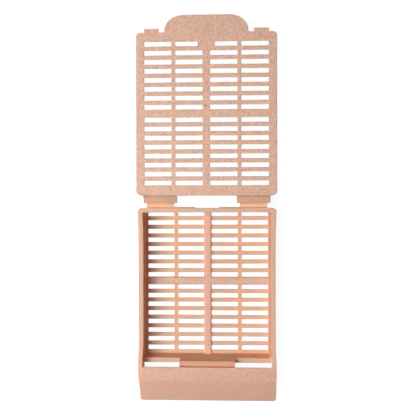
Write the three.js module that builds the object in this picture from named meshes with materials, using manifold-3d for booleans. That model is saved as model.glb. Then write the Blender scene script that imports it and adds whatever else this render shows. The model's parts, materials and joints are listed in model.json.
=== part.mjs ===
// Tissue cassette: a slotted tray with a slanted writing face, and a slotted lid on two strap hinges.
// It is one moulding. The stretches that stay stiff when it folds are separate solids, parted at the creases.
// Millimetres. X runs across, +Y from the tray towards the opened lid, +Z up. The origin is on the tray's
// underside, below the crossing of the floor's two ribs. The cassette lies open and flat.

import * as THREE from 'three';
import { mergeVertices } from 'three/addons/utils/BufferGeometryUtils.js';
import Module from 'manifold-3d';

const wasm = await Module();
wasm.setup();

// ---------------------------------------------------------------- driving dimensions

// Tray walls and floor
const trayWidth = 28.0;
const rimHeight = 5.6;
const floorThickness = 0.95;
const compartmentLength = 29.23; // rear wall to the foot of the front wall
const rearWall = 0.89;
const sideWall = 0.95; // at the rim
const sideTaper = 0.49; // what a side wall gains in thickness down to the floor
const sideBow = 0.2; // how far a side wall leans in at the middle of its length
const bowPower = 6; // 2 is a round bow, and more is flatter in the middle
const rearCornerRadius = 0.85;
const innerCornerRadius = 0.2;
const innerFrontRadius = 0.15;

// Slot grid, the same in the floor and in the lid
const rowPitch = 1.8;
const slotHeight = 0.935; // at the slot's neck
const slotDraft = 12; // degrees that its long sides open downwards
const slotEndDraft = 6;
const columnBar = 0.8; // between two columns of slots
const centreRib = 1.525;
const crossRib = 1.6;
const gridSideMargin = 0.15; // grid to the foot of a side wall
const gridFrontMargin = 0.7; // grid to the foot of the front wall
const rearRowTuck = 0.25; // how far the rear row may run in under the rear wall
const floorTuck = 0.35; // how far the floor runs into the walls
const slotEdge = 0.1; // rounding of the slots' upper edges
const ribRise = 0.5; // how far the floor's two ribs stand above it
const ribEdge = 0.3; // rounding of the ribs' upper edges
const ribEndOverrun = 0.3; // how far the centre rib climbs onto the front wall

// Front wall of the compartment: a ledge on each side of a higher block
const frontWallFoot = 1.5; // its thickness at the floor
const frontWallLean = 14.6; // degrees from upright
const ledgeDrop = 2.44; // below the rim
const blockDrop = 1.0; // its front wall's top below the rim
const blockRamp = 0.7; // how far the block's top rises from there to the lip
const blockWidth = 11.28;
const blockGroove = 0.3; // width of the groove between the block and the lip
const blockGrooveDepth = 0.25; // below the front wall's top
const blockGrooveInset = 0.2; // groove's end to the block's side

// Front end: lip, textured band and writing face over a hollow
const windowGap = 0.55; // front wall to lip
const cheek = 0.92; // side of the hollow front end
const cheekDraft = 0.4; // what the hollow gains in half width down to the underside
const lipRamp = 0.69; // lip's edge to the ridge
const lipEdge = 0.3; // thickness of the lip's edge
const lipBack = 0.5; // how far the hollow slopes forwards from the lip's edge
const lipDrop = 0.2; // lip's edge below the ridge
const ridgeDrop = 0.1; // ridge below the rim
const bandReach = 2.16;
const bandDrop = 0.6;
const writingFaceReach = 4.87;
const toeHeight = 1.4;
const frontShell = 1.0;
const frontTaper = 0.14; // what the front end loses in half width towards the toe, at the top
const frontFlare = 0.2; // what it gains again at the underside
const toeCornerRadius = 0.5;

// Lid
const lidThickness = 1.2;
const lidOverhang = 0.07; // beyond the tray on each side
const lidFrontCornerRadius = 0.8;
const lidRearCornerRadius = 1.0;
const lidEdge = 0.12; // rounding of the outline's edges
const lidGridShift = 0.08; // grid's centre to the lid's middle, towards the tab
const gatePad = 3.46; // width of the solid patch where the first row meets the centre rib
const tabWidth = 16.8;
const tabLength = 3.45;
const tabCornerLength = 3.2; // the tab's corners are quarter ellipses
const tabCornerWidth = 3.7;
const tabRootRadius = 0.2;
const tongueWidth = 2.96;
const tongueLength = 0.72;
const tongueThickness = 0.6;
const tongueInset = 0.61; // tongue to the outer end of its window

// Strap hinges
const filmWidth = 5.54;
const filmLength = 0.91; // rear wall to the first crease
const filmThickness = 0.2;
const strapWidth = 6.77;
const strapThickness = 0.6;
const strapLength = 1.81; // crease to crease
const strapEdgeMargin = 1.2; // strap's outer edge to the tray's side
const strapOpenAngle = 35; // above level, with the lid open
const strapEndTaper = 0.4;
const hingeRoot = 0.19; // how far the rib under the films stands out of the rear wall
const hingeRootHeight = 1.1;
const hingeRootInnerEnd = 1.95; // from the middle of the tray
const hingeRootFade = 0.6;

// Clearances
const creaseGap = 0.12; // a solid's end to the crease line
const foldClearance = 0.1; // folded strap to the lid's rear edge
const lidSeatGap = 0.05; // closed lid to the rim
const lipClearance = 0.39; // closed lid to the lip

const finish = { color: new THREE.Color('#dfb49d'), roughness: 0.55, metalness: 0 };

// ---------------------------------------------------------------- derived places

const radians = THREE.MathUtils.degToRad;
const halfWidth = trayWidth / 2;

// Distances forwards from the rear wall's outer face
const footAt = rearWall + compartmentLength;
const wallFrontAt = footAt + frontWallFoot;
const lipAt = wallFrontAt + windowGap;
const ridgeAt = lipAt + lipRamp;
const faceTopAt = ridgeAt + bandReach;
const toeAt = faceTopAt + writingFaceReach;

const floorHalf = halfWidth - sideWall - sideTaper;
const cheekInner = halfWidth - cheek;
const frontWallSlope = Math.tan(radians(frontWallLean));
const ridgeZ = rimHeight - ridgeDrop;
const faceTopZ = ridgeZ - bandDrop;
const faceSlope = (faceTopZ - toeHeight) / writingFaceReach;
const ledgeZ = rimHeight - ledgeDrop;
const blockZ = rimHeight - blockDrop;

// Slot grid
const gridRoom = compartmentLength - gridFrontMargin + rearRowTuck;
const rowsPerHalf = Math.max(1, 1 + Math.floor(((gridRoom - crossRib) / 2 - slotHeight) / rowPitch));
const halfGridLength = crossRib / 2 + (rowsPerHalf - 1) * rowPitch + slotHeight;
const columnsHalf = floorHalf - gridSideMargin;
const slotLength = (columnsHalf - centreRib / 2 - columnBar) / 2;

// The frame's Y of the rear wall's outer face, and of a place in front of it
const rearY = footAt - gridFrontMargin - halfGridLength;
const ahead = (distance) => rearY - distance;

// Creases, as Y and Z of their lines; the closed strap stands upright and the closed lid lies on the rim
const closedTop = rimHeight + lidSeatGap + lidThickness;
const openAngle = radians(strapOpenAngle);
const filmCrease = { y: rearY + filmLength, z: closedTop - filmThickness - strapLength };
const lidCrease = {
  y: filmCrease.y + strapLength * Math.cos(openAngle),
  z: filmCrease.z + strapLength * Math.sin(openAngle),
};
const strapCentre = halfWidth - strapEdgeMargin - strapWidth / 2;
const lidLength = lipAt - lipClearance + filmLength - foldClearance;

// ---------------------------------------------------------------- shape helpers

const past = 1; // how far a cutter runs past what it cuts
const edgeSteps = 2; // facets of a rounded edge
const curveSteps = 8; // facets of a rounded corner

function toSolid(geometry) {
  const bare = geometry.clone();
  bare.deleteAttribute('normal');
  bare.deleteAttribute('uv');
  const merged = mergeVertices(bare, 1e-5);
  return new wasm.Manifold(new wasm.Mesh({
    numProp: 3,
    vertProperties: new Float32Array(merged.attributes.position.array),
    triVerts: new Uint32Array(merged.index.array),
  }));
}

function toMesh(name, solid) {
  const { numProp, vertProperties, triVerts } = solid.getMesh();
  const positions = new Float32Array(triVerts.length * 3);
  triVerts.forEach((vertex, i) => {
    positions.set(vertProperties.subarray(vertex * numProp, vertex * numProp + 3), i * 3);
  });
  const geometry = new THREE.BufferGeometry();
  geometry.setAttribute('position', new THREE.BufferAttribute(positions, 3));
  geometry.computeVertexNormals();
  const mesh = new THREE.Mesh(geometry, new THREE.MeshStandardMaterial(finish));
  mesh.name = name;
  return mesh;
}

const union = (solids) => solids.reduce((sum, solid) => sum.add(solid));
const cut = (solid, cutters) => cutters.reduce((rest, cutter) => rest.subtract(cutter), solid);

function block([x0, x1], [y0, y1], [z0, z1]) {
  const box = new THREE.BoxGeometry(x1 - x0, y1 - y0, z1 - z0);
  return toSolid(box.translate((x0 + x1) / 2, (y0 + y1) / 2, (z0 + z1) / 2));
}

// An outline in X and Y, raised from z0 to z1; a chamfer keeps the outline's own size
function plate(shape, z0, z1, chamfer = 0) {
  const geometry = new THREE.ExtrudeGeometry(shape, {
    depth: z1 - z0 - 2 * chamfer,
    curveSegments: curveSteps,
    bevelEnabled: chamfer > 0,
    bevelThickness: chamfer,
    bevelSize: chamfer,
    bevelOffset: -chamfer,
    bevelSegments: edgeSteps,
  });
  return toSolid(geometry.translate(0, 0, z0 + chamfer));
}

// An outline in Y and Z, carried along X
function bar(outline, x0, x1) {
  const shape = new THREE.Shape(outline.map(([y, z]) => new THREE.Vector2(y, z)));
  const geometry = new THREE.ExtrudeGeometry(shape, { depth: x1 - x0, bevelEnabled: false });
  const turn = new THREE.Matrix4().makeBasis(
    new THREE.Vector3(0, 1, 0), new THREE.Vector3(0, 0, 1), new THREE.Vector3(1, 0, 0));
  return toSolid(geometry.applyMatrix4(turn).translate(x0, 0, 0));
}

// A closed skin over a stack of rings with as many points each, lowest first
function loft(levels) {
  const count = levels[0].ring.length;
  const positions = levels.flatMap(({ ring: points, z }) => points.flatMap(({ x, y }) => [x, y, z]));
  const index = [];
  for (let level = 0; level + 1 < levels.length; level++) {
    for (let i = 0; i < count; i++) {
      const [a, b] = [level * count + i, level * count + ((i + 1) % count)];
      index.push(a, b, b + count, a, b + count, a + count);
    }
  }
  const last = (levels.length - 1) * count;
  const bottom = THREE.ShapeUtils.triangulateShape(levels[0].ring, []);
  const top = THREE.ShapeUtils.triangulateShape(levels.at(-1).ring, []);
  bottom.forEach(([a, b, c]) => index.push(c, b, a));
  top.forEach(([a, b, c]) => index.push(last + a, last + b, last + c));
  const geometry = new THREE.BufferGeometry();
  geometry.setAttribute('position', new THREE.Float32BufferAttribute(positions, 3));
  geometry.setIndex(index);
  return toSolid(geometry);
}

const toPoints = (pairs) => pairs.map(([x, y]) => new THREE.Vector2(x, y));
const corners = (x0, x1, y0, y1) => toPoints([[x0, y0], [x1, y0], [x1, y1], [x0, y1]]);

function quarterTurn(centreX, centreY, radius, from, radiusY = radius) {
  return Array.from({ length: curveSteps + 1 }, (_, i) => {
    const angle = from + (i / curveSteps) * (Math.PI / 2);
    return new THREE.Vector2(centreX + radius * Math.cos(angle), centreY + radiusY * Math.sin(angle));
  });
}

const mirrored = (points) => points.map(({ x, y }) => new THREE.Vector2(-x, y)).reverse();

// A cutter for one slot through a plate from z0 to z1: it opens downwards from a neck just below the plate's
// upper face, whose edge it rounds
function slotCutter([x0, x1], [y0, y1], z0, z1) {
  const grown = (byX, byY, z) => ({ ring: corners(x0 - byX, x1 + byX, y0 - byY, y1 + byY), z });
  const drop = z1 - slotEdge - (z0 - past);
  const rounding = Array.from({ length: edgeSteps + 1 }, (_, i) => {
    const angle = (i / edgeSteps) * (Math.PI / 2);
    const by = slotEdge * (1 - Math.cos(angle));
    return grown(by, by, z1 - slotEdge * (1 - Math.sin(angle)));
  });
  return loft([
    grown(drop * Math.tan(radians(slotEndDraft)), drop * Math.tan(radians(slotDraft)), z0 - past),
    ...rounding,
    grown(slotEdge, slotEdge, z1 + past),
  ]);
}

// The slots of the grid about its own centre; the last row can stop short of the centre rib
function slotGrid(centreY, [z0, z1], lastRowInner = centreRib / 2) {
  const cutters = [];
  const addRow = (near, inner) => {
    const rowSpan = [centreY + near, centreY + near + slotHeight];
    const innerColumn = [inner, centreRib / 2 + slotLength];
    const outerColumn = [columnsHalf - slotLength, columnsHalf];
    for (const [from, to] of [innerColumn, outerColumn]) {
      cutters.push(slotCutter([from, to], rowSpan, z0, z1), slotCutter([-to, -from], rowSpan, z0, z1));
    }
  };
  for (let row = 0; row < rowsPerHalf; row++) {
    const near = crossRib / 2 + row * rowPitch;
    addRow(near, row + 1 === rowsPerHalf ? lastRowInner : centreRib / 2);
    addRow(-near - slotHeight, centreRib / 2);
  }
  return union(cutters);
}

// ---------------------------------------------------------------- tray

// A ring is mirrored about X = 0: up the right side from the front, which has its own width, then leaning in
// towards the middle of the stretch behind bowFrom, and round the rear corner
function ring({ half, frontHalf = half, front, bowFrom, rear, bow, frontRadius, rearRadius }) {
  const bowTo = rear - rearRadius;
  const side = Array.from({ length: curveSteps - 1 }, (_, i) => {
    const t = (i + 1) / curveSteps;
    return new THREE.Vector2(half - bow * (1 - Math.abs(2 * t - 1) ** bowPower), THREE.MathUtils.lerp(bowFrom, bowTo, t));
  });
  const right = [
    ...quarterTurn(frontHalf - frontRadius, front + frontRadius, frontRadius, -Math.PI / 2),
    new THREE.Vector2(half, bowFrom),
    ...side,
    ...quarterTurn(half - rearRadius, bowTo, rearRadius, 0),
  ];
  return [...right, ...mirrored(right)];
}

function trayBody() {
  const outline = (frontHalf) => ring({
    half: halfWidth, frontHalf, front: ahead(toeAt), bowFrom: ahead(lipAt), rear: rearY,
    bow: sideBow, frontRadius: toeCornerRadius, rearRadius: rearCornerRadius,
  });
  const pastToe = ahead(toeAt + toeHeight / 2 / faceSlope);
  const sideView = bar([
    [rearY + past, 0], [pastToe, 0], [pastToe, toeHeight / 2], [ahead(faceTopAt), faceTopZ],
    [ahead(ridgeAt), ridgeZ], [ahead(lipAt), ridgeZ - lipDrop], [ahead(lipAt), rimHeight],
    [rearY + past, rimHeight],
  ], -trayWidth, trayWidth);
  return loft([
    { ring: outline(halfWidth - frontTaper + frontFlare), z: 0 },
    { ring: outline(halfWidth - frontTaper), z: rimHeight },
  ]).intersect(sideView);
}

// The room between the walls, right through the floor: its side walls thicken downwards, its rear wall is
// upright and its front wall leans away
function compartment() {
  const level = (z) => {
    const rise = (z - floorThickness) / (rimHeight - floorThickness);
    const front = ahead(footAt + (z - floorThickness) * frontWallSlope);
    const half = floorHalf + sideTaper * rise;
    const points = ring({
      half, front, bowFrom: front + 2 * innerFrontRadius, rear: ahead(rearWall),
      bow: sideBow * rise, frontRadius: innerFrontRadius, rearRadius: innerCornerRadius,
    });
    return { ring: points, z };
  };
  const foot = level(floorThickness);
  return loft([{ ...foot, z: -past }, foot, level(rimHeight + past)]);
}

function trayFloor() {
  const reach = floorHalf + floorTuck;
  const length = [ahead(footAt + floorTuck), ahead(rearWall - floorTuck)];
  const slab = block([-reach, reach], length, [0, floorThickness]);
  return slab.subtract(slotGrid(0, [0, floorThickness]));
}

function floorRibs() {
  const root = floorThickness - slotEdge - ribEdge;
  const top = floorThickness + ribRise;
  const halfRib = centreRib / 2;
  const reach = floorHalf + floorTuck;
  const roundEnd = ahead(footAt + ribEndOverrun) + halfRib;
  const rib = new THREE.Shape();
  rib.moveTo(halfRib, ahead(rearWall - floorTuck));
  rib.lineTo(-halfRib, ahead(rearWall - floorTuck));
  rib.lineTo(-halfRib, roundEnd);
  rib.absarc(0, roundEnd, halfRib, Math.PI, 2 * Math.PI);
  const cross = new THREE.Shape(corners(-reach, reach, -crossRib / 2, crossRib / 2));
  return union([plate(rib, root, top, ribEdge), plate(cross, root, top, ribEdge)]);
}

// The room above the ledges and the centre block, with the groove behind the lip
function frontWallCuts() {
  const blockHalf = blockWidth / 2;
  const grooveHalf = blockHalf - blockGrooveInset;
  const span = [ahead(lipAt), ahead(footAt)];
  const grooveSpan = [ahead(lipAt), ahead(lipAt - blockGroove)];
  const blockTopAt = footAt + (blockZ - floorThickness) * frontWallSlope;
  const sky = rimHeight + past;
  const overBlock = bar([
    [ahead(footAt), blockZ], [ahead(blockTopAt), blockZ], [ahead(lipAt), blockZ + blockRamp],
    [ahead(lipAt), sky], [ahead(footAt), sky],
  ], -blockHalf, blockHalf);
  return [
    block([-cheekInner, -blockHalf], span, [ledgeZ, sky]),
    block([blockHalf, cheekInner], span, [ledgeZ, sky]),
    overBlock,
    block([-grooveHalf, grooveHalf], grooveSpan, [blockZ - blockGrooveDepth, sky]),
  ];
}

// The hollow under the front end, open below and wider there; beside the block it opens upwards too, as the
// latch windows
function frontHollow() {
  const upright = frontShell * Math.hypot(1, faceSlope);
  const ceiling = faceTopZ - frontShell;
  const innerFaceAt = (z) => faceTopAt + (faceTopZ - upright - z) / faceSlope;
  const room = bar([
    [ahead(wallFrontAt), -past], [ahead(wallFrontAt), ceiling],
    [ahead(innerFaceAt(ceiling)), ceiling], [ahead(innerFaceAt(-past)), -past],
  ], -trayWidth, trayWidth);
  const latchWindow = bar([
    [ahead(wallFrontAt), ceiling - past], [ahead(wallFrontAt), ceiling],
    [ahead(lipAt), ridgeZ - lipDrop - lipEdge], [ahead(lipAt + lipBack), ceiling],
    [ahead(lipAt + lipBack), ceiling - past],
  ], blockWidth / 2, trayWidth);
  const between = (half) => corners(-half, half, ahead(toeAt - frontShell), rearY);
  return loft([
    { ring: between(cheekInner + cheekDraft), z: -past },
    { ring: between(cheekInner), z: ledgeZ },
    { ring: between(cheekInner), z: rimHeight },
  ]).intersect(union([room, latchWindow, latchWindow.mirror([1, 0, 0])]));
}

// One film and the rib that it grows from, on the right
function hingeFilm() {
  const outerEnd = strapCentre + filmWidth / 2;
  const inWall = rearY - rearWall / 2;
  const root = new THREE.Shape(toPoints([
    [hingeRootInnerEnd, inWall], [outerEnd, inWall],
    [outerEnd, rearY + hingeRoot], [hingeRootInnerEnd + hingeRootFade, rearY + hingeRoot],
  ]));
  const filmSpan = [inWall, filmCrease.y - creaseGap];
  return union([
    plate(root, filmCrease.z - hingeRootHeight, filmCrease.z),
    block([outerEnd - filmWidth, outerEnd], filmSpan, [filmCrease.z - filmThickness, filmCrease.z]),
  ]);
}

function tray() {
  const film = hingeFilm();
  const walls = cut(trayBody(), [compartment(), ...frontWallCuts(), frontHollow()]);
  return toMesh('tray', union([walls, trayFloor(), floorRibs(), film, film.mirror([1, 0, 0])]));
}

// ---------------------------------------------------------------- hinge straps and lid

// Drawn flat from the film's crease towards the lid's, inner face up, then tilted to its opened slope
function hingeStrap(name, side) {
  const start = creaseGap;
  const end = strapLength - creaseGap;
  const strap = toMesh(name, bar([
    [start, 0], [start, -filmThickness], [start + strapEndTaper, -strapThickness],
    [end - strapEndTaper, -strapThickness], [end, -filmThickness], [end, 0],
  ], -strapWidth / 2, strapWidth / 2));
  strap.position.set(side * strapCentre, filmCrease.y, filmCrease.z);
  strap.rotation.x = openAngle;
  return strap;
}

// Drawn from the lid's crease, inner face up, as it lies when open
function lid() {
  const half = halfWidth + lidOverhang;
  const rear = foldClearance;
  const front = rear + lidLength;
  const top = lidThickness - filmThickness;

  // The outline's right half from the rear to the tab's tip; the left half mirrors it
  const rearCentre = [half - lidRearCornerRadius, rear + lidRearCornerRadius];
  const frontCentre = [half - lidFrontCornerRadius, front - lidFrontCornerRadius];
  const rootCentre = [tabWidth / 2 + tabRootRadius, front + tabRootRadius];
  const tabCentre = [tabWidth / 2 - tabCornerWidth, front + tabLength - tabCornerLength];
  const right = [
    ...quarterTurn(...rearCentre, lidRearCornerRadius, -Math.PI / 2),
    ...quarterTurn(...frontCentre, lidFrontCornerRadius, 0),
    ...quarterTurn(...rootCentre, tabRootRadius, Math.PI).reverse(),
    ...quarterTurn(...tabCentre, tabCornerWidth, 0, tabCornerLength),
  ];
  const outline = new THREE.Shape([...right, ...mirrored(right)]);

  const tongueOuter = cheekInner - tongueInset;
  const tongueRoot = front - 2 * lidEdge;
  const tongueTip = front + tongueLength;
  const tongueBase = top - tongueThickness;
  const tongueChamfer = tongueThickness / 2;
  const tongue = bar([
    [tongueRoot, top], [tongueTip, top], [tongueTip, tongueBase + tongueChamfer],
    [tongueTip - tongueChamfer, tongueBase], [tongueRoot, tongueBase],
  ], tongueOuter - tongueWidth, tongueOuter);

  const gridCentre = (rear + front) / 2 + lidGridShift;
  const slots = slotGrid(gridCentre, [-filmThickness, top], gatePad / 2);
  const slotted = plate(outline, -filmThickness, top, lidEdge).subtract(slots);
  const mesh = toMesh('lid', union([slotted, tongue, tongue.mirror([1, 0, 0])]));
  mesh.position.set(0, lidCrease.y, lidCrease.z);
  return mesh;
}

const cassette = new THREE.Group();
cassette.name = 'tissue_cassette';
cassette.add(tray(), hingeStrap('hinge_strap_left', -1), hingeStrap('hinge_strap_right', 1), lid());

export default cassette;
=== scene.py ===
import json

import bmesh
import bpy
from mathutils import Matrix, Vector


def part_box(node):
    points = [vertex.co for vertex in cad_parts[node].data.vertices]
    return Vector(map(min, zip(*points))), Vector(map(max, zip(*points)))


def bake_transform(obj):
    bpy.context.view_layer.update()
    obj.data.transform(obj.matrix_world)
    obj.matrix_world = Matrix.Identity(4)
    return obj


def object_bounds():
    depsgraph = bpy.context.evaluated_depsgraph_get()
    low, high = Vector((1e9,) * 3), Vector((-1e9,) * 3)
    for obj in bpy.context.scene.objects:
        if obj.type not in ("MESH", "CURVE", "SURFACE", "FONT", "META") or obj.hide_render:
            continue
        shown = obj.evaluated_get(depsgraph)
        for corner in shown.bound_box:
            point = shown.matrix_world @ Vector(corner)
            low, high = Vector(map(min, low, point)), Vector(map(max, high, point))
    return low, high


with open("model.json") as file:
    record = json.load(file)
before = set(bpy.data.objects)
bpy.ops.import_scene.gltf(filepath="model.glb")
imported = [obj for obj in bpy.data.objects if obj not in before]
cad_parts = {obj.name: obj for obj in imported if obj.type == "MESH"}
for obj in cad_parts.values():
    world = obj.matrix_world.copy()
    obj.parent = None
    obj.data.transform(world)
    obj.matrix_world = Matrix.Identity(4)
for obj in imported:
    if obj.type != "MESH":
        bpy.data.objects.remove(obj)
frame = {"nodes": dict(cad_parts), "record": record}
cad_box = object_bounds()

MM = 0.001


def mm(*values):
    """Millimetres as a vector in metres."""
    return Vector(values) * MM


def grey(value):
    """A colour socket's value for a grey."""
    return (value, value, value, 1)


# ------------------------------------------------------------------ places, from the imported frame

FILM_LENGTH = 0.91 * MM  # rear wall to the crease where film and strap meet
FILM_WIDTH = 5.54 * MM
FILM_ROOT = 0.19 * MM  # how far the rib under the films stands out of the rear wall
LIP_REACH = 32.17 * MM  # rear wall to the edge of the lip behind the textured band
FACE_REACH = 35.02 * MM  # rear wall to the upper edge of the writing face
RIB_TOP = (1.35 * MM, 1.5 * MM)  # heights between which the floor's two ribs end
LEDGE_TOP = (3.1 * MM, 3.2 * MM)  # heights between which the front wall's two ledges end

joints = {joint["name"]: joint for joint in frame["record"]["behaviour"]["joints"]}
strap_crease = Vector(joints["strap_fold"]["pos_m"])
lid_crease = Vector(joints["lid_fold"]["pos_m"])
tray_low, tray_high = (Vector(corner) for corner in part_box("tray"))
lid_low, lid_high = (Vector(corner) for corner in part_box("lid"))
strap_low, strap_high = (Vector(corner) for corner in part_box("hinge_strap_right"))
crease_gap = strap_crease.y - tray_high.y
rim_z = tray_high.z
rear_wall_y = strap_crease.y - FILM_LENGTH
film_root_y = rear_wall_y + FILM_ROOT
lip_y = rear_wall_y - LIP_REACH
face_top_y = rear_wall_y - FACE_REACH

# ------------------------------------------------------------------ camera

CAMERA_PLACE = mm(6.69, 0.67, 142.98)  # from the middle of the tray's rear wall, at its rim
CAMERA_ROLL = 0.04499  # radians about +Y: the camera stands to the right and looks back to the left
CAMERA_PITCH = -0.00464  # radians about the camera's own X
CAMERA_TURN = -0.00167  # radians about the line of sight
LENS_MM = 61.6275  # on a sensor of the width below
SENSOR_MM = 36.0
NEAREST_SEEN = 0.01
FARTHEST_SEEN = 10

camera_data = bpy.data.cameras.new("camera")
camera_data.sensor_width = SENSOR_MM
camera_data.lens = LENS_MM
camera_data.clip_start = NEAREST_SEEN
camera_data.clip_end = FARTHEST_SEEN
camera = bpy.data.objects.new("camera", camera_data)
bpy.context.scene.collection.objects.link(camera)
camera_turn = (
    Matrix.Rotation(CAMERA_ROLL, 4, "Y")
    @ Matrix.Rotation(CAMERA_PITCH, 4, "X")
    @ Matrix.Rotation(CAMERA_TURN, 4, "Z")
)
rear_rim = Vector((0, rear_wall_y, rim_z))
camera.matrix_world = Matrix.Translation(rear_rim + CAMERA_PLACE) @ camera_turn
bpy.context.scene.camera = camera

# ------------------------------------------------------------------ a short way to write node trees


class Nodes:
    """An owner's empty node tree. The calls add nodes to it, and most return a node's main output."""

    def __init__(self, owner):
        owner.use_nodes = True
        self.tree = owner.node_tree
        self.tree.nodes.clear()

    def add(self, kind, inputs=None, **settings):
        """Add a node; the inputs are numbers, vectors, colours or other nodes' outputs."""
        node = self.tree.nodes.new(kind)
        for name, value in settings.items():
            setattr(node, name, value)
        for name, value in (inputs or {}).items():
            self.feed(node.inputs[name], value)
        return node

    def feed(self, socket, value):
        """Link another node's output to the socket, or set the socket itself."""
        if isinstance(value, bpy.types.NodeSocket):
            self.tree.links.new(value, socket)
        else:
            socket.default_value = value

    def math(self, operation, *values):
        return self.add("ShaderNodeMath", dict(enumerate(values)), operation=operation).outputs[0]

    def vector_math(self, operation, inputs):
        return self.add("ShaderNodeVectorMath", inputs, operation=operation).outputs[0]

    def split(self, vector):
        """The vector's X, Y and Z."""
        return self.add("ShaderNodeSeparateXYZ", {"Vector": vector}).outputs

    def ramp(self, value, start, end):
        """0 up to start and 1 from end on, smooth between them; start may be the higher of the two."""
        falling = end < start
        limits = {
            "Value": value,
            "From Min": min(start, end),
            "From Max": max(start, end),
            "To Min": 1.0 if falling else 0.0,
            "To Max": 0.0 if falling else 1.0,
        }
        return self.add("ShaderNodeMapRange", limits, interpolation_type="SMOOTHSTEP").outputs["Result"]

    def between(self, value, limits, soft):
        """1 between the two limits and 0 outside them, with soft flanks outside."""
        low, high = limits
        rising = self.ramp(value, low - soft, low)
        falling = self.ramp(value, high + soft, high)
        return self.math("MULTIPLY", rising, falling)

    def noise(self, place, scale, detail=1.0, roughness=0.5):
        """Noise about 0, with the given number of cells to the metre."""
        look = {"Vector": place, "Scale": scale, "Detail": detail, "Roughness": roughness}
        return self.math("SUBTRACT", self.add("ShaderNodeTexNoise", look).outputs["Fac"], 0.5)

    def mix(self, factor, a, b):
        """A colour from a to b, each another node's output or red, green and blue."""
        node = self.add("ShaderNodeMix", data_type="RGBA")
        self.feed(node.inputs[0], factor)
        for socket, colour in ((node.inputs[6], a), (node.inputs[7], b)):
            self.feed(socket, colour if isinstance(colour, bpy.types.NodeSocket) else (*colour, 1))
        return node.outputs[2]

    def background_ray(self):
        """1 for rays that show what lies behind the object, 0 for rays that light it."""
        path = self.add("ShaderNodeLightPath").outputs
        seen = self.math("MAXIMUM", path["Is Camera Ray"], path["Is Glossy Ray"])
        return self.math("MAXIMUM", seen, path["Is Transmission Ray"])


# ------------------------------------------------------------------ moulded acetal

STIPPLED = (0.674, 0.429, 0.325)
SMOOTH = (0.695, 0.410, 0.275)
# the smooth acetal painted darker: painted shade on the tilted straps under the lid's edge
STRAP_PAINTED_SHADE = (0.668, 0.385, 0.263)
# the smooth acetal painted paler: painted light on the slanted writing face
FACE_PAINTED_LIGHT = (0.722, 0.450, 0.335)
# the films' own acetal, painted paler and warmer: painted light shining through the thin films from below
FILM_PAINTED_GLOW = (0.830, 0.490, 0.305)

GRAIN_SCALE = 2700  # light and dark specks
MOTTLE_SCALE = 1500  # pinker and greener specks
MOTTLE_SHIFT = mm(31, 47, 23)  # the mottle is read elsewhere, so that it does not follow the grain
CLOUD_SCALE = 110  # broad changes of shade
DRAG_SCALE = 420  # broad unevenness of the surface

TRAY_GRIT = 0.72  # strength of the grain
LID_GRIT = 0.95
MOTTLE_STRENGTH = 0.10
CLOUD_STRENGTH = 0.06
DRAG_STRENGTH = 0.08
RED_IN_GRAIN = 0.4  # how much weaker the grain is in red
BLUE_IN_MOTTLE = 0.6  # share of the mottle that blue takes part in
SMOOTH_TEXTURE = 0.12  # share of grain and mottle that a smooth surface keeps
SMOOTH_ROUGHNESS = 0.46
STIPPLED_ROUGHNESS = 0.62
SPECULAR_LEVEL = 0.05
REFRACTION = 1.48
EDGE_ROUNDING = 0.07 * MM
RELIEF = 0.05 * MM
RELIEF_STRENGTH = 0.5

LID_RED_BLEED = 0.5 * MM  # how far red light travels in the plastic
TRAY_RED_BLEED = 1.8 * MM
HINGE_RED_BLEED = 1.4 * MM
GREEN_BLEED = 0.29 * MM
BLUE_BLEED = 0.13 * MM


def plastic(name, tint, red_bleed, stipple_mask=None, grit=TRAY_GRIT, marks_and_painted_shade=None):
    """Moulded acetal, pale and stippled where the mask is 1, warmer and smooth where it is 0.

    The tint is the smooth colour, or a function that gives it.
    """
    material = bpy.data.materials.new(name)
    n = Nodes(material)
    coordinates = n.add("ShaderNodeTexCoord").outputs
    place = coordinates["Object"]
    facing = coordinates["Normal"]
    base = tint(n, place, facing) if callable(tint) else tint
    stipple = 0.0
    texture = SMOOTH_TEXTURE
    roughness = SMOOTH_ROUGHNESS
    if stipple_mask:
        stipple = stipple_mask(n, place, facing)
        base = n.mix(stipple, base, STIPPLED)
        texture = n.math("ADD", texture, n.math("MULTIPLY", stipple, 1 - SMOOTH_TEXTURE))
        rougher = n.math("MULTIPLY", stipple, STIPPLED_ROUGHNESS - SMOOTH_ROUGHNESS)
        roughness = n.math("ADD", roughness, rougher)

    grain = n.noise(place, GRAIN_SCALE, detail=1.5, roughness=0.6)
    light_and_dark = n.math("MULTIPLY", grain, n.math("MULTIPLY", texture, grit))
    tinted = mottled(n, place, base, texture, light_and_dark)
    shade = n.math("ADD", 1.0, light_and_dark)
    shade = n.math("ADD", shade, n.math("MULTIPLY", n.noise(place, CLOUD_SCALE), CLOUD_STRENGTH))
    # the lid's marks darken the colour: its small mark, and painted shade in its dimple
    if marks_and_painted_shade:
        shade = n.math("MULTIPLY", shade, marks_and_painted_shade(n, place, facing))

    shader = n.add(
        "ShaderNodeBsdfPrincipled",
        {
            "Base Color": n.vector_math("SCALE", {0: tinted, "Scale": shade}),
            "Roughness": roughness,
            "Normal": relief(n, place, n.math("MULTIPLY", grain, stipple)),
            "Subsurface Weight": 1.0,
            "Subsurface Radius": (red_bleed, GREEN_BLEED, BLUE_BLEED),
            "Subsurface Scale": 1.0,
            "Specular IOR Level": SPECULAR_LEVEL,
            "IOR": REFRACTION,
        },
        subsurface_method="BURLEY",
    )
    n.add("ShaderNodeOutputMaterial", {"Surface": shader.outputs[0]})
    return material


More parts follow.
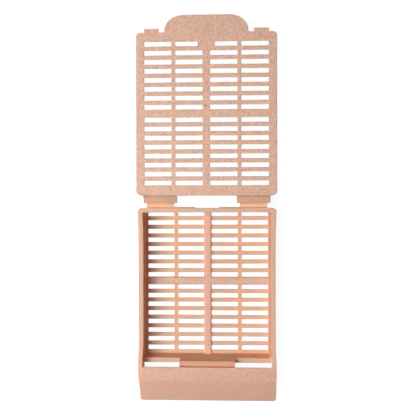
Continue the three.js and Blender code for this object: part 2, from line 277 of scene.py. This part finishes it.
def mottled(n, place, base, texture, light_and_dark):
    """The base colour with specks that lean to red or to green, and a grain that is weaker in red."""
    elsewhere = n.vector_math("ADD", {0: place, 1: MOTTLE_SHIFT})
    mottle = n.noise(elsewhere, MOTTLE_SCALE)
    hue = n.math("MULTIPLY", mottle, n.math("MULTIPLY", texture, MOTTLE_STRENGTH))
    red = n.math("SUBTRACT", n.math("ADD", 1.0, hue), n.math("MULTIPLY", light_and_dark, RED_IN_GRAIN))
    green = n.math("SUBTRACT", 1.0, hue)
    blue = n.math("SUBTRACT", 1.0, n.math("MULTIPLY", hue, BLUE_IN_MOTTLE))
    lean = n.add("ShaderNodeCombineXYZ", {0: red, 1: green, 2: blue}).outputs[0]
    return n.vector_math("MULTIPLY", {0: base, 1: lean})


def relief(n, place, stipple_height):
    """The normal of the stippled or faintly uneven surface, with softly rounded edges."""
    rounded = n.add("ShaderNodeBevel", {"Radius": EDGE_ROUNDING}, samples=4).outputs[0]
    drag = n.math("MULTIPLY", n.noise(place, DRAG_SCALE), DRAG_STRENGTH)
    height = n.math("ADD", stipple_height, drag)
    bump = {"Strength": RELIEF_STRENGTH, "Distance": RELIEF, "Height": height, "Normal": rounded}
    return n.add("ShaderNodeBump", bump).outputs["Normal"]


# ------------------------------------------------------------------ where the plastic differs

# A normal's Z, where each kind of surface starts and where it is complete
FLAT_SIDE = (0.5, 0.9)  # not the lid's edges and the sides of its slots
LEVEL_TOP = (0.85, 0.95)  # not the writing face
SLANTED = (0.6, 0.75)  # not the walls
INNER_SIDE = (0.1, 0.5)  # the side of the lid that faces up when it lies open

RIM_SOFT = (0.15 * MM, 0.05 * MM)  # depths below the rim where its stipple starts and is complete
FILM_TOP = (0.5 * MM, 0.6 * MM)  # depths below the rim between rim and films
TOP_SOFT = 0.04 * MM
FACE_SOFT = 0.03 * MM
LINE_SOFT = 0.02 * MM
LEDGE_STIPPLE = 0.5

MARKS_X = -0.1 * MM
MARK_SOFT = (1.25, 0.6)  # of a mark's radius: where it starts and where it is complete
GATE_REACH = 18.02 * MM  # end of the lid's tab to the mark where the plastic came in
GATE_RADIUS = 0.3 * MM
GATE_SHADE = 0.28
DIMPLE_REACH = 2.72 * MM  # end of the lid's tab to the faint dimple in it
DIMPLE_RADIUS = 0.9 * MM
# painted shade: how much darker the dimple's middle is painted, for the shade in its hollow
DIMPLE_PAINTED_SHADE = 0.05


def lid_stipple(n, place, facing):
    """Both flat sides of the lid."""
    _, _, up = n.split(facing)
    return n.ramp(n.math("ABSOLUTE", up), *FLAT_SIDE)


def tray_stipple(n, place, facing):
    """The tray's rims, floor ribs and band in full, and the ledges by half, each only on top."""
    _, y, z = n.split(place)
    _, _, up = n.split(facing)
    depth = n.math("SUBTRACT", rim_z, z)
    rims = n.ramp(depth, *RIM_SOFT)
    ribs = n.between(z, RIB_TOP, TOP_SOFT)
    band = n.between(y, (face_top_y, lip_y), LINE_SOFT)
    ledges = n.math("MULTIPLY", n.between(z, LEDGE_TOP, TOP_SOFT), LEDGE_STIPPLE)
    parts = n.math("MAXIMUM", n.math("MAXIMUM", rims, ribs), n.math("MAXIMUM", band, ledges))
    return n.math("MULTIPLY", n.ramp(up, *LEVEL_TOP), parts)


def tray_colour_with_painted_light(n, place, facing):
    """The slanted face is painted paler than the walls, as painted light, and the thin films are painted
    paler and warmer, as painted light shining through them.
    """
    _, y, z = n.split(place)
    _, _, up = n.split(facing)
    in_front = n.ramp(y, face_top_y + FACE_SOFT, face_top_y)
    # painted light: the slanted face gets a paler colour than the walls
    face_painted_light_mask = n.math("MULTIPLY", in_front, n.ramp(up, *SLANTED))
    behind_wall = n.ramp(y, film_root_y - LINE_SOFT, film_root_y)
    below_rim = n.ramp(n.math("SUBTRACT", rim_z, z), *FILM_TOP)
    # painted light: the thin films get a paler, warmer colour for light shining through them from below
    film_painted_glow_mask = n.math("MULTIPLY", behind_wall, below_rim)
    return n.mix(film_painted_glow_mask, n.mix(face_painted_light_mask, SMOOTH, FACE_PAINTED_LIGHT), FILM_PAINTED_GLOW)


def mark(n, place, reach, radius, shade):
    """A round mark at a reach from the end of the lid's tab: 1 around it, 1 - shade in its middle."""
    x, y, _ = n.split(place)
    across = n.math("SUBTRACT", x, MARKS_X)
    along = n.math("SUBTRACT", y, lid_high.y - reach)
    squares = n.math("ADD", n.math("MULTIPLY", across, across), n.math("MULTIPLY", along, along))
    start, end = MARK_SOFT
    inside = n.ramp(n.math("SQRT", squares), radius * start, radius * end)
    return n.math("SUBTRACT", 1.0, n.math("MULTIPLY", inside, shade))


def lid_mark_and_painted_dimple_shade(n, place, facing):
    """The mark where the plastic came in, and painted shade in a faint dimple, both on the lid's inner
    side only.
    """
    _, _, up = n.split(facing)
    inner = n.ramp(up, *INNER_SIDE)
    gate = mark(n, place, GATE_REACH, GATE_RADIUS, n.math("MULTIPLY", inner, GATE_SHADE))
    dimple = mark(n, place, DIMPLE_REACH, DIMPLE_RADIUS, n.math("MULTIPLY", inner, DIMPLE_PAINTED_SHADE))
    return n.math("MULTIPLY", gate, dimple)


lid_plastic = plastic("acetal_lid", SMOOTH, LID_RED_BLEED, lid_stipple, LID_GRIT, lid_mark_and_painted_dimple_shade)
tray_plastic = plastic("acetal_tray", tray_colour_with_painted_light, TRAY_RED_BLEED, tray_stipple)
# painted shade: the straps and the lid webs get the darker strap colour
strap_plastic_painted_shade = plastic("acetal_straps_painted_shade", STRAP_PAINTED_SHADE, HINGE_RED_BLEED)
# painted light: the films and film webs are painted paler and warmer for light shining through them
film_plastic_painted_glow = plastic("acetal_films_painted_glow", FILM_PAINTED_GLOW, HINGE_RED_BLEED)

for node, material in {
    "lid": lid_plastic,
    "tray": tray_plastic,
    "hinge_strap_left": strap_plastic_painted_shade,
    "hinge_strap_right": strap_plastic_painted_shade,
}.items():
    for material_slot in frame["nodes"][node].material_slots:
        material_slot.material = material

# ------------------------------------------------------------------ webs that close the creases

WEB_THICKNESS = 0.18 * MM
WEB_LAP = 0.015 * MM  # into the film or strap
LID_LAP = 0.14 * MM  # into the lid
WEB_SINK = mm(0, 0, -0.004)  # keeps a web's upper side just below the solids' own
WEB_STEPS = 6


def web_profile(crease, before, after):
    """Upper and lower line of a thin web round a crease, in the plane X = 0, from before to after."""
    upper, lower = [], []
    for step in range(WEB_STEPS + 1):
        t = step / WEB_STEPS
        point = before * (1 - t) ** 2 + crease * (2 * t * (1 - t)) + after * t ** 2
        tangent = ((crease - before) * (1 - t) + (after - crease) * t).normalized()
        normal = Vector((0, -tangent.z, tangent.y))
        upper.append(point)
        lower.append(point - normal * WEB_THICKNESS)
    return upper, lower


def web(name, profile, centre_x, width, material):
    """A closed strip: the profile drawn across the width, with a row of faces closing each side."""
    upper, lower = profile
    outline = upper + lower[::-1]
    count = len(outline)
    vertices = [
        Vector((centre_x + side * width / 2, point.y, point.z))
        for side in (-1, 1)
        for point in outline
    ]
    faces = []
    for index in range(count):
        following = (index + 1) % count
        faces.append([index, following, count + following, count + index])
    for step in range(WEB_STEPS):
        left = [step, count - 1 - step, count - 2 - step, step + 1]
        right = [count + index for index in reversed(left)]
        faces += [left, right]
    mesh = bpy.data.meshes.new(name)
    mesh.from_pydata(vertices, [], faces)
    mesh.materials.append(material)
    face_outwards(mesh)
    piece = bpy.data.objects.new(name, mesh)
    bpy.context.scene.collection.objects.link(piece)
    return piece


def face_outwards(mesh):
    faces = bmesh.new()
    faces.from_mesh(mesh)
    bmesh.ops.recalc_face_normals(faces, faces=faces.faces)
    faces.to_mesh(mesh)
    faces.free()


level = Vector((0, 1, 0))
slope = Vector((0, lid_crease.y - strap_crease.y, lid_crease.z - strap_crease.z)).normalized()
film_end = strap_crease - level * crease_gap
strap_start = strap_crease + slope * crease_gap
strap_end = lid_crease - slope * crease_gap
lid_edge = lid_crease + level * (lid_low.y - lid_crease.y)
film_profile = web_profile(
    strap_crease + WEB_SINK,
    film_end - level * WEB_LAP + WEB_SINK,
    strap_start + slope * WEB_LAP + WEB_SINK,
)
lid_profile = web_profile(
    lid_crease + WEB_SINK,
    strap_end - slope * WEB_LAP + WEB_SINK,
    lid_edge + level * LID_LAP + WEB_SINK,
)
strap_centre = (strap_low.x + strap_high.x) / 2
strap_width = strap_high.x - strap_low.x
for side, side_name in ((-1, "left"), (1, "right")):
    piece = web("film_web_" + side_name, film_profile, side * strap_centre, FILM_WIDTH, film_plastic_painted_glow)
    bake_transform(piece)
    piece = web("lid_web_" + side_name, lid_profile, side * strap_centre, strap_width, strap_plastic_painted_shade)
    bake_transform(piece)

# ------------------------------------------------------------------ floor

FLOOR_HALF = 1.5
FLOOR_DROP = 0.02 * MM  # below the tray, so that the two never coincide
BACKGROUND = 0.94  # brightness of floor and surroundings where they are seen
FLOOR_BOUNCE = 0.60  # what the floor throws back at the object
FLOOR_SHADOW = 0.16  # how strongly light and shadow show on the floor


def floor_look():
    """Pale and nearly without shadow where it is seen, a plain grey for the light that it throws back."""
    material = bpy.data.materials.new("floor")
    n = Nodes(material)
    bounce = n.add("ShaderNodeBsdfDiffuse", {"Color": grey(FLOOR_BOUNCE)})
    glow = n.add("ShaderNodeEmission", {"Color": grey(1), "Strength": BACKGROUND})
    shadow = n.add("ShaderNodeBsdfDiffuse", {"Color": grey(FLOOR_SHADOW)})
    pale = n.add("ShaderNodeAddShader", {0: glow.outputs[0], 1: shadow.outputs[0]})
    choice = {0: n.background_ray(), 1: bounce.outputs[0], 2: pale.outputs[0]}
    n.add("ShaderNodeOutputMaterial", {"Surface": n.add("ShaderNodeMixShader", choice).outputs[0]})
    return material


floor_corners = [
    (FLOOR_HALF * side_x, FLOOR_HALF * side_y, 0)
    for side_x, side_y in ((-1, -1), (1, -1), (1, 1), (-1, 1))
]
floor_mesh = bpy.data.meshes.new("floor")
floor_mesh.from_pydata(floor_corners, [], [(0, 1, 2, 3)])
floor_mesh.materials.append(floor_look())
floor = bpy.data.objects.new("floor", floor_mesh)
bpy.context.scene.collection.objects.link(floor)
floor.location.z = tray_low.z - FLOOR_DROP

# ------------------------------------------------------------------ light

KEY_DIRECTION = (-0.49, -0.10, 0.866)  # from the left; close by, so that it fades across the object
FILL_DIRECTION = (0, 0, 1)  # straight down into the tray
WARM_SHADE = (1, 0.5, 0.25, 1)  # what the plastic's own walls would throw into the shade
SHADE_STRENGTH = 0.05


def area_light(name, direction, distance, size, power):
    """A round lamp that shines from a direction at the middle of the object."""
    data = bpy.data.lights.new(name, "AREA")
    data.shape = "DISK"
    data.size = size
    data.energy = power
    light = bpy.data.objects.new(name, data)
    bpy.context.scene.collection.objects.link(light)
    towards = Vector(direction).normalized()
    centre = (Vector(cad_box[0]) + Vector(cad_box[1])) / 2
    light.location = centre + towards * distance
    light.rotation_euler = towards.to_track_quat("Z", "Y").to_euler()


def surroundings():
    """A dim warm light from all round, and the background's white where it is seen."""
    world = bpy.data.worlds.new("world")
    n = Nodes(world)
    shade = n.add("ShaderNodeBackground", {"Color": WARM_SHADE, "Strength": SHADE_STRENGTH})
    white = n.add("ShaderNodeBackground", {"Color": grey(1), "Strength": BACKGROUND})
    choice = {0: n.background_ray(), 1: shade.outputs[0], 2: white.outputs[0]}
    n.add("ShaderNodeOutputWorld", {"Surface": n.add("ShaderNodeMixShader", choice).outputs[0]})
    return world


area_light("key", KEY_DIRECTION, distance=0.20, size=0.15, power=0.47)
area_light("fill", FILL_DIRECTION, distance=0.5, size=0.05, power=0.24)
bpy.context.scene.world = surroundings()
bpy.context.scene.view_settings.view_transform = "Standard"
